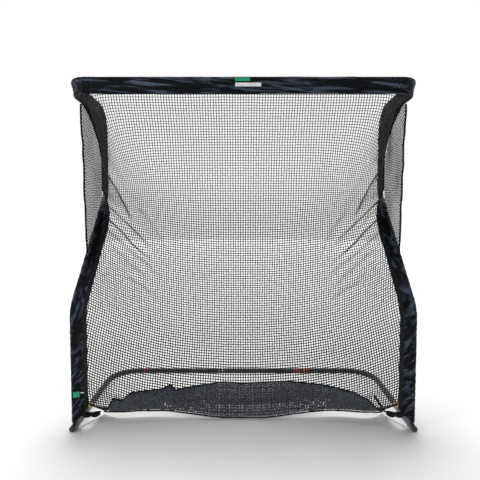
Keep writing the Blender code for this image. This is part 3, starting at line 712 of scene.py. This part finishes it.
def build_main_net(net, paint):
    """Row and column strands of the main net, as a left and a right half."""
    rng = np.random.default_rng(5)
    rows = []
    for columns, knots, left, right in net.rows():
        rows.append((columns, knots + rng.normal(0, KNOT_SHIFT, knots.shape), left, right))
    halves = {"left": [], "right": []}
    for columns, knots, left, right in rows:
        middle = -columns[0]
        for name, line in (("left", np.concatenate(([left], knots[:middle + 1]))),
                           ("right", np.concatenate((knots[middle:], [right])))):
            halves[name] += runs_above(line)
    widest = max(abs(columns).max() for columns, *_ in rows)
    for number in range(-widest, widest + 1):
        name = "left" if number < 0 else "right"
        line = []
        for columns, knots, *_ in rows:
            if columns[0] <= number <= columns[-1]:
                line.append(knots[number - columns[0]])
            elif line:
                halves[name] += runs_above(line)
                line = []
        halves[name] += runs_above(line)
    for name, lines in halves.items():
        piece = add_strands("main_net_" + name, lines, paint, worn_radius, ("main_net",))
        strand_area(lines, worn_radius)


def hem_height(x):
    """Height of the main net's foot: on the ground in the middle, drawn up towards the corners."""
    reach = np.abs(x)
    return HEM_Z + HEM_LIFT * ease((reach - 0.10) / 0.50) * ease((1.12 - reach) / 0.22)


def low_points(net, places, heights):
    """Points of the net's lower part at given places along X and heights."""
    across = np.asarray(places) / HEM_CORNER[0]
    for _ in range(3):
        points = lower_surface(net, across, heights)
        off_middle = np.abs(points[:, 0]) > 0.01
        reached = np.where(off_middle, points[:, 0], 1.0)
        across = across * np.where(off_middle, places / reached, 1.0)
        across = np.clip(across, -1, 1)
    return points


def lower_surface(net, across, heights):
    """Points of the net's lower part at given shares across and heights."""
    across = np.asarray(across)
    distances = np.linspace(net.middle_length - 0.55, net.middle_length + 1.0, 90)
    points = []
    for share, height in zip(across, heights):
        line = net.surface(np.full_like(distances, share), distances)
        points.append([np.interp(-height, -line[:, 2], line[:, axis]) for axis in range(3)])
    return np.array(points)


def build_front_hem(net, paint):
    """Cord along the main net's foot."""
    x = np.linspace(-HEM_CORNER[0], HEM_CORNER[0], 121)
    line = low_points(net, x, hem_height(x))
    line[:, 1] -= HEM_CORD_R
    line[:, 2] = np.maximum(line[:, 2] - HEM_CORD_R, HEM_CORD_R + 0.0006)
    line = evenly(line, 0.012)
    line[1:-1, 1] += 0.003 * noise(line[1:-1, 0] * 9, line[1:-1, 0] * 0, 61)
    thick = HEM_CORD_R * (0.88 + 0.12 * noise(line[:, 0] * 30, line[:, 0] * 0 + 5, 62))
    add_tube("front_hem_cord", line, thick, 10, UP, paint, ("front_hem",))


def build_apron(net, paints):
    """Spare net folded five deep along the foot, with its gathered edge."""
    top_x = [x for x, _ in APRON_TOP]
    top_z = [z for _, z in APRON_TOP]
    groups = {"under": [], "over": []}
    for layer, (lift, rough, diagonal) in enumerate(APRON_LAYERS):
        group = groups["under" if layer < 2 else "over"]

        def place(x, share):
            """Point of this layer at places across and shares down from the edge."""
            top = np.interp(x, top_x, top_z) - 0.004 * layer
            foot = hem_height(x) - 0.004
            heights = foot + np.maximum(top - foot, 0.004) * (1 - share)
            line = low_points(net, x, heights)
            swell = np.sin(pi * np.clip(share, 0, 1)) ** 0.6
            crumple = rough * noise(x * 11 + 7 * layer, share * 5 + layer, 70 + layer)
            crumple += 0.5 * rough * noise(x * 31, share * 13 + layer, 80 + layer)
            lift_here = np.maximum(lift * (0.35 + 0.65 * swell) + crumple * swell, 0.014 * share ** 4)
            line[:, 1] -= lift_here * 0.85
            line[:, 2] += lift_here * 0.45
            return line

        if diagonal:
            for slant in (-1, 1):
                for start in np.arange(-1.3, 1.3, 1.3 * MESH):
                    share = np.arange(0, 1.0001, APRON_STEP / APRON_DEPTH)
                    x = start + slant * share * APRON_DEPTH
                    keep = np.abs(x) < APRON_HALF
                    if keep.sum() > 2:
                        group.append(place(x[keep], share[keep]))
        else:
            for share in np.arange(0.0, 1.001, MESH / APRON_DEPTH):
                x = np.arange(-APRON_HALF, APRON_HALF + 0.001, APRON_STEP)
                group.append(place(x, np.full_like(x, share)))
            for x in np.arange(-0.98, 0.981, MESH):
                share = np.arange(0, 1.0001, APRON_STEP / APRON_DEPTH)
                group.append(place(np.full_like(share, x), share))
    for name, lines in groups.items():
        # the apron's strands take the lighter twine, whose lightness is painted light
        piece = add_strands("apron_" + name, lines, paints["worn_net"], APRON_STRAND_R,
                            ("front_apron",))
        strand_area(lines, APRON_STRAND_R)

    x = np.linspace(-1.0, 1.0, 240)
    top = np.interp(x, top_x, top_z)
    line = low_points(net, x, np.maximum(top, hem_height(x)))
    ripple = 0.005 * noise(x * 12, x * 0 + 3, 91) + 0.003 * noise(x * 34, x * 0 + 9, 92)
    line[:, 1] -= 0.024 + ripple
    line[:, 2] += 0.006 + ripple
    thick = 0.0046 * (1 + 0.35 * noise(x * 26, x * 0 + 1, 93))
    add_tube("apron_edge", line, thick, 8, UP, paints["webbing"], ("apron_hem",))


# ---------------------------------------------------------------- side nets
def gusset_edge(count):
    """Free edge of a corner gusset as y and z, from the arm down to the upright."""
    start = np.array((GUSSET_START_Y, arm_height(GUSSET_START_Y) - SLEEVE_TAIL))
    end = np.array((UPRIGHT_Y - SLEEVE_TAIL, GUSSET_FOOT_Z))
    chord = end - start
    square = unit(np.array((-chord[1], chord[0])))
    share = np.linspace(0, 1, count)[:, None]
    return start + chord * share + square * GUSSET_RISE * 4 * share * (1 - share)


def inside(outline, y, z):
    """Which points lie inside a closed outline of y and z."""
    hit = np.zeros(len(y), bool)
    for (y0, z0), (y1, z1) in zip(outline, np.roll(outline, -1, axis=0)):
        crosses = (z0 > z) != (z1 > z)
        with np.errstate(divide="ignore", invalid="ignore"):
            at = y0 + (z - z0) / (z1 - z0) * (y1 - y0)
        hit ^= crosses & (y < at)
    return hit


def build_side_nets(paints):
    """Diamond net, hem and corner gusset in each side frame."""
    for name, side in SIDES:
        x = side * SIDE_X
        edge = gusset_edge(18)
        lower = LEG_TOP_Z - LEG_Y + SLOPE_CLEAR * sqrt(2)
        back = UPRIGHT_Y - SLEEVE_TAIL + 0.004
        outline = np.array([SIDE_HEM_TOP] + [tuple(point) for point in edge] + [
            (back, GUSSET_FOOT_Z), (back, SLOPE_TOP_Z + 0.10), (0.20, 0.20 + lower),
            (SIDE_HEM_FOOT[0], SIDE_HEM_FOOT[0] + lower)])
        lines = []
        for slant in (-1, 1):
            for start in np.arange(0.6, 2.9, MESH * sqrt(2)):
                y = np.arange(-0.30, 0.42, MESH / sqrt(2) / 2)
                z = start + slant * y
                sag = 0.006 * noise(y * 5 + 8, z * 4 + 2 * side, 44)
                points = np.stack([x - side * (0.003 + sag), y, z], axis=1)
                lines += kept_runs(points, inside(outline, y, z))
        piece = add_strands("side_net_strands_" + name, lines, paints["net"],
                            replaced=("side_net_" + name,), normal=(1.0, 0.0, 0.0))
        strand_area(lines)

        foot = np.array((x, *SIDE_HEM_FOOT))
        top = np.array((x, *SIDE_HEM_TOP))
        share = np.linspace(0, 1, 90)[:, None]
        line = foot + (top - foot) * share
        bow = 0.012 * np.sin(pi * share[:, 0])
        line[:, 1] += bow + 0.003 * noise(line[:, 2] * 9, line[:, 2] * 0, 51)
        line[:, 0] += 0.0035 * noise(line[:, 2] * 13, line[:, 2] * 0 + side, 52)
        add_band("side_net_hem_" + name, line, (0, 1, 0), SIDE_HEM_WIDTH, SIDE_HEM_THICKNESS,
                 paints["webbing"], ("side_hem_" + name,))

        round_line = side_line(side, 0.02)
        kept = (round_line[:, 2] > GUSSET_FOOT_Z) & (round_line[:, 1] > GUSSET_START_Y)
        inner = (round_line + inner_way(round_line) * (SLEEVE_TAIL - TUCK))[kept]
        inner = at_distance(inner, np.linspace(0, along(inner)[-1], 40))
        free = gusset_edge(40)[::-1]
        free = np.column_stack([np.full(40, x), free])
        share = np.linspace(0, 1, 12)[None, :, None]
        grid = inner[:, None, :] + (free - inner)[:, None, :] * share
        grid[:, :, 0] += 0.003 * noise(grid[:, :, 1] * 14, grid[:, :, 2] * 14 + side, 53)
        piece = add_cloth("gusset_" + name, grid, 0.0016, paints["gusset"],
                          ("corner_gusset_" + name,))


# ---------------------------------------------------------------- straps, tapes and labels
def build_straps(net, paints):
    """Webbing loop from each leg's foot to the hem's corner, and the tie beside the right one."""
    for name, side in SIDES:
        knots = [(side * x, y, z) for x, y, z in STRAP_ROUTE]
        middle = evenly(smooth_line(knots), 0.004)
        share = np.linspace(0, 1, len(middle))
        belly = np.abs(np.sin(2 * pi * share)) ** 0.8
        for layer, drop in (("upper", 0.004), ("lower", -0.013)):
            line = middle.copy()
            line[:, 2] += drop * belly - 0.001 * np.sign(-drop)
            line[:, 1] += drop * 0.4 * belly
            add_band("strap_" + layer + "_" + name, line, (0, -0.3, 1.0), STRAP_WIDTH, 0.0016,
                     paints["webbing"], ("corner_strap_" + name,))
        if side > 0:
            laid = low_points(net, np.array(TIE_X), np.array(TIE_Z))
            laid[:, 1] -= 0.012
            line = evenly(smooth_line([TIE_START, *laid]), 0.004)
            add_band("net_tie", line, (1, 0, 0.2), 0.016, 0.003, paints["webbing"])


def build_tapes(paints):
    """Coloured bands and stickers on the ground frame."""
    def band(label, colour, start, end):
        line = np.linspace(start, end, 3)
        add_tube("band_" + label, line, TUBE_R + TAPE_LIFT, TUBE_SIDES, UP, paints[colour])

    for number, (x, colour) in enumerate(((-0.905, "red"), (-0.869, "red"), (0.858, "magenta"),
                                          (0.882, "magenta"), (-0.223, "pale"), (-0.187, "pale"))):
        band(f"rear_{number}", colour, (x - 0.005, REAR_Y, TUBE_R), (x + 0.005, REAR_Y, TUBE_R))
    for name, side in SIDES:
        for number, y in enumerate((-0.215, -0.165)):
            band(f"rail_{name}_{number}", "yellow", (side * SIDE_X, y - 0.007, TUBE_R),
                 (side * SIDE_X, y + 0.007, TUBE_R))

    for number, (x, colour) in enumerate(REAR_STICKERS):
        turn = np.radians(np.linspace(20, 125, 14))
        ring = np.stack([0 * turn, REAR_Y - STICKER_R * np.sin(turn),
                         TUBE_R + STICKER_R * np.cos(turn)], axis=1)
        grid = ring[:, None, :] + np.array((x - 0.013, x + 0.013))[None, :, None] * ACROSS
        add_cloth(f"sticker_{number}", grid, 0.0005, paints[colour])


def build_labels(paints):
    """Plain woven labels on the top sleeve and the left leg."""
    places, halves = sleeve_section(40)

    def half_at(place):
        return np.interp(place, places, halves)

    for label, x0, x1, from_edge, to_edge in (("green", -0.055, 0.045, -0.012, 0.012),
                                              ("white", -0.055, 0.120, 0.022, 0.046)):
        down = np.linspace(from_edge, to_edge, 8)
        lift = half_at(down) + LABEL_LIFT
        column = np.array((0.0, BAR_Y, BAR_Z)) - BAR_NORMAL * down[:, None]
        column[:, 1] -= lift
        across = np.linspace(x0, x1, 20)
        grid = column[:, None, :] + across[None, :, None] * ACROSS
        add_cloth("top_label_" + label, grid, LABEL_THICKNESS, paints[label])

    for label, x0, x1, z0, z1 in (("green", -1.182, -1.141, 0.224, 0.264),
                                  ("white", -1.136, -1.112, 0.250, 0.257)):
        across = np.linspace(x0, x1, 9)
        lift = half_at(across + SIDE_X) + LABEL_LIFT
        heights = np.linspace(z0, z1, 6)
        row = np.stack([across, LEG_Y - lift, 0 * across], axis=1)
        grid = row[None, :, :] + heights[:, None, None] * UP
        add_cloth("leg_label_" + label, grid, LABEL_THICKNESS, paints[label])


# ---------------------------------------------------------------- sleeves
def sleeve_section(count):
    """Half thickness of the sleeve's flat section along its tail, from the tube's far side out."""
    places = SLEEVE_TAIL - (SLEEVE_TAIL + SLEEVE_R) * (0.5 + 0.5 * np.cos(np.linspace(0, pi, count)))
    knots = (0.004, 0.020, 0.045, 0.070, SLEEVE_TAIL)
    halves = (SLEEVE_R, 0.0170, 0.0090, 0.0055, SLEEVE_TIP)
    flat = np.interp(places, knots, halves)
    round_part = np.sqrt(np.maximum(SLEEVE_R ** 2 - np.minimum(places, 0) ** 2, 0))
    return places, np.where(places < 0, round_part, np.minimum(flat, SLEEVE_R))


def sleeve_mesh(name, line, tails, paint, replaced, wrinkle, shift=None):
    """A fabric sleeve: rings of the flat section along the line, pushed by the wrinkles.

    wrinkle(reach, place, face) gives the push out of the fabric; shift(reach, place) moves points
    along the tube, for a slanted end.
    """
    way = tangents(line)
    across = unit(np.cross(way, tails))
    reach = along(line)
    places, halves = sleeve_section(SLEEVE_AROUND)
    order = [(index, 1) for index in range(SLEEVE_AROUND)]
    order += [(index, -1) for index in range(SLEEVE_AROUND - 2, 0, -1)]
    rings = []
    for index, face in order:
        place = places[index]
        half = halves[index]
        push = wrinkle(reach, place, face) * min(1.0, half / 0.006)
        points = line + tails * place + across * (face * (half + push))[:, None]
        if index == 0:
            points = line + tails * place
        if shift is not None:
            points = points + way * shift(reach, place)[:, None]
        rings.append(points)
    rings = np.stack(rings, axis=1)
    faces = ring_faces(len(line), rings.shape[1])
    return add_mesh(name, rings.reshape(-1, 3), faces, paint, replaced)


def ridges(value, sharp=3.0):
    """Narrow ridges between broad hollows, -0.4 to 1."""
    return (1 - np.abs(np.sin(value))) ** sharp * 1.4 - 0.4


def side_wrinkle(seed):
    """Slanting wrinkles of a side sleeve."""
    def push(reach, place, face):
        warp = 1.2 * noise(reach * 7, place * 20 + 5 * face + 11, seed)
        slant = reach * 62 - place * 60 + warp * 2.6
        fine = reach * 140 - place * 120 + warp * 3.4 + 2
        size = 0.0030 + 0.0030 * noise(reach * 6 + 3, place * 12, seed + 1)
        calm = ease((SLEEVE_TAIL - SLEEVE_HEM - place) / 0.020)
        return calm * (size * ridges(slant + face, 2.2) + 0.0011 * ridges(fine) + 0.0016 * noise(
            reach * 30, place * 50 + 3 * face, seed + 2))
    return push


def top_wrinkle(length, seed):
    """Long level wrinkles of the top sleeve, gathered at its corners."""
    def push(reach, place, face):
        warp = noise(reach * 3.2, place * 22 + 3 * face, seed)
        level = place * 150 + warp * 3.4 + 0.8 * np.sin(reach * 5)
        size = 0.0024 + 0.0024 * noise(reach * 2.6 + 9, place * 12, seed + 1)
        nearest = np.minimum(reach, length - reach)
        gather = np.exp(-((nearest - 0.17) / 0.07) ** 2)
        pleats = 0.0040 * gather * ridges(reach * 95 + 8 * place + warp, 1.6)
        return size * (1 - 0.6 * gather) * ridges(level, 1.8) + pleats + 0.0013 * noise(
            reach * 20, place * 45 + face, seed + 2)
    return push


def build_sleeves(paints):
    """Side sleeves with slanted feet, and the top sleeve."""
    for name, side in SIDES:
        line = side_line(side, SLEEVE_STEP)

        def shift(reach, place):
            share = np.clip((place + SLEEVE_R) / (SLEEVE_TAIL + SLEEVE_R), 0, 1)
            return SLEEVE_FOOT_RISE * share ** 1.5 * ease(1 - reach / 0.30)

        sleeve_mesh("sleeve_" + name, line, tail_way(side, line), paints["sleeve_side"],
                    ("side_sleeve_" + name,), side_wrinkle(20 + side), shift)
        bound = line[along(line) > SLEEVE_FOOT_RISE]
        tails = tail_way(side, bound)
        add_band("sleeve_hem_" + name, bound + tails * (SLEEVE_TAIL - SLEEVE_HEM / 2), tails,
                 SLEEVE_HEM, 0.0125, paints["webbing"])

    ends = [(side * SIDE_X, SLEEVE_END_Y - 0.001, arm_height(SLEEVE_END_Y)) for side in (-1, 1)]
    corners = [(side * SIDE_X, BAR_Y, BAR_Z) for side in (-1, 1)]
    line = rounded((ends[0], *corners, ends[1]), (TOP_BEND_R, TOP_BEND_R))
    line = evenly(line, SLEEVE_STEP)
    tails = np.broadcast_to(-BAR_NORMAL, line.shape)
    sleeve_mesh("sleeve_top", line, tails, paints["sleeve_top"], ("top_sleeve",),
                top_wrinkle(along(line)[-1], 31))


# ---------------------------------------------------------------- ground frame
def build_ground_frame(paints):
    """Smooth tubes over the ground frame's bends and crossbar."""
    for name, side in SIDES:
        start = (side * SIDE_X, GROUND_SPLIT_Y + 0.0005, TUBE_R)
        corner = (side * SIDE_X, REAR_Y, TUBE_R)
        end = (side * REAR_SPLIT_X, REAR_Y, TUBE_R)
        line = evenly(rounded((start, corner, end), (GROUND_BEND_R,)), 0.02)
        add_tube("rail_bend_" + name, line, TUBE_R, TUBE_SIDES, UP, paints["tube"],
                 ("ground_corner_" + name,))
    halves = (("left", -REAR_SPLIT_X, REAR_MIDDLE_X), ("right", REAR_MIDDLE_X, REAR_SPLIT_X))
    for name, x_from, x_to in halves:
        places = np.linspace(x_from + 0.0005, x_to - 0.0005, 30)
        line = np.array([(x, REAR_Y, TUBE_R) for x in places])
        add_tube("rear_bar_" + name, line, TUBE_R, TUBE_SIDES, UP, paints["tube"],
                 ("rear_tube_" + name,))


# ---------------------------------------------------------------- stage
FLOOR_HALF = 16.0
WALL_R = 14.0
WALL_TOP = 13.0
WALL_SIDES = 72
WALL_FADE_Y = (-9.5, -1.0)     # the wall is dimmer in front, and brightens between these
WALL_GLOW = (0.40, 1.0)
SIDE_LAMP = (-5.0, -3.0, 2.6)
SIDE_LAMP_AIM = (0.0, -0.4, 1.2)
CAMERA_PLACE = (-0.015, -3.443, 1.601)
CAMERA_DIP = 3.4               # degrees below level


def stage_piece(name, points, faces, paint):
    """A part of the studio, which isn't part of the object."""
    mesh = bpy.data.meshes.new(name)
    mesh.from_pydata(points, [], faces)
    mesh.materials.append(paint)
    piece = bpy.data.objects.new(name, mesh)
    bpy.context.scene.collection.objects.link(piece)
    return piece


def add_lamp(name, kind, power):
    """A lamp of the studio."""
    data = bpy.data.lights.new(name, kind)
    data.energy = power
    lamp = bpy.data.objects.new(name, data)
    bpy.context.scene.collection.objects.link(lamp)
    return lamp


def build_wall():
    """A ring of glowing wall round the floor, dimmer in front."""
    glow = new_paint("studio_backdrop", (0.0, 0.0, 0.0), 0.5, Specular_IOR_Level=0.0,
                     Emission_Color=(1.0, 1.0, 1.0, 1.0))
    parts = add_node(glow, "ShaderNodeSeparateXYZ")
    fade = add_node(glow, "ShaderNodeMapRange", interpolation_type="SMOOTHSTEP",
                    From_Min=WALL_FADE_Y[0], From_Max=WALL_FADE_Y[1],
                    To_Min=WALL_GLOW[0], To_Max=WALL_GLOW[1])
    link(glow, object_place(glow), parts.inputs["Vector"])
    link(glow, parts.outputs["Y"], fade.inputs["Value"])
    link(glow, fade.outputs["Result"], shader_of(glow).inputs["Emission Strength"])
    turn = [2 * pi * number / WALL_SIDES for number in range(WALL_SIDES)]
    points = [(WALL_R * cos(a), WALL_R * sin(a), z) for z in (-0.1, WALL_TOP) for a in turn]
    faces = []
    for here in range(WALL_SIDES):
        after = (here + 1) % WALL_SIDES
        faces.append((here, after, WALL_SIDES + after, WALL_SIDES + here))
    stage_piece("studio_backdrop", points, faces, glow).visible_shadow = False


def build_stage():
    """Floor, wall, soft lights and the camera."""
    white = new_paint("studio_white", (0.88, 0.88, 0.88), 0.9, Specular_IOR_Level=0.0)
    corners = [(x * FLOOR_HALF, y * FLOOR_HALF, 0) for x, y in ((-1, -1), (1, -1), (1, 1), (-1, 1))]
    stage_piece("studio_floor", corners, [(0, 1, 2, 3)], white)
    build_wall()

    scene = bpy.context.scene
    scene.world = bpy.data.worlds.new("studio")
    scene.world.use_nodes = True
    background = scene.world.node_tree.nodes["Background"]
    background.inputs["Color"].default_value = (1.0, 1.0, 1.0, 1.0)
    background.inputs["Strength"].default_value = 0.06

    key = add_lamp("key", "SUN", 2.5)
    key.data.angle = radians(26)
    key.rotation_euler = (radians(-18), 0.0, 0.0)
    side = add_lamp("side_left", "AREA", 85)
    side.data.size = 1.2
    side.location = SIDE_LAMP
    side.rotation_mode = "QUATERNION"
    aim = Vector(SIDE_LAMP_AIM) - Vector(SIDE_LAMP)
    side.rotation_quaternion = aim.to_track_quat("-Z", "Y")

    data = bpy.data.cameras.new("camera")
    data.lens = 32.76
    data.sensor_width = 36.0
    data.shift_x = -0.0025
    data.shift_y = -0.03125
    data.clip_end = 100.0
    scene.camera = bpy.data.objects.new("camera", data)
    scene.collection.objects.link(scene.camera)
    scene.camera.location = CAMERA_PLACE
    scene.camera.rotation_euler = (radians(90 - CAMERA_DIP), 0.0, 0.0)
    scene.view_settings.view_transform = "Standard"


# ---------------------------------------------------------------- the whole
def paint_nodes(paints):
    """Give every CAD node that stays visible its finish."""
    by_slot = {"tube": "tube", "moulding": "plastic", "button": "steel", "sleeve_fabric": "sleeve_side",
               "netting": "net", "webbing": "webbing"}
    for row in frame["record"]["subparts"]:
        node = frame["nodes"][row["node"]]
        node.data.materials.clear()
        node.data.materials.append(paints[by_slot[row["material_slot"]]])
        node.data.shade_smooth()
        node.data.set_sharp_from_angle(angle=radians(40))


def main():
    """Build the looks."""
    build_stage()
    paints = make_paints()
    paint_nodes(paints)
    build_ground_frame(paints)
    build_sleeves(paints)
    net = Net()
    build_main_net(net, paints["net"])
    build_front_hem(net, paints["webbing"])
    build_apron(net, paints)
    build_side_nets(paints)
    build_straps(net, paints)
    build_tapes(paints)
    build_labels(paints)


main()
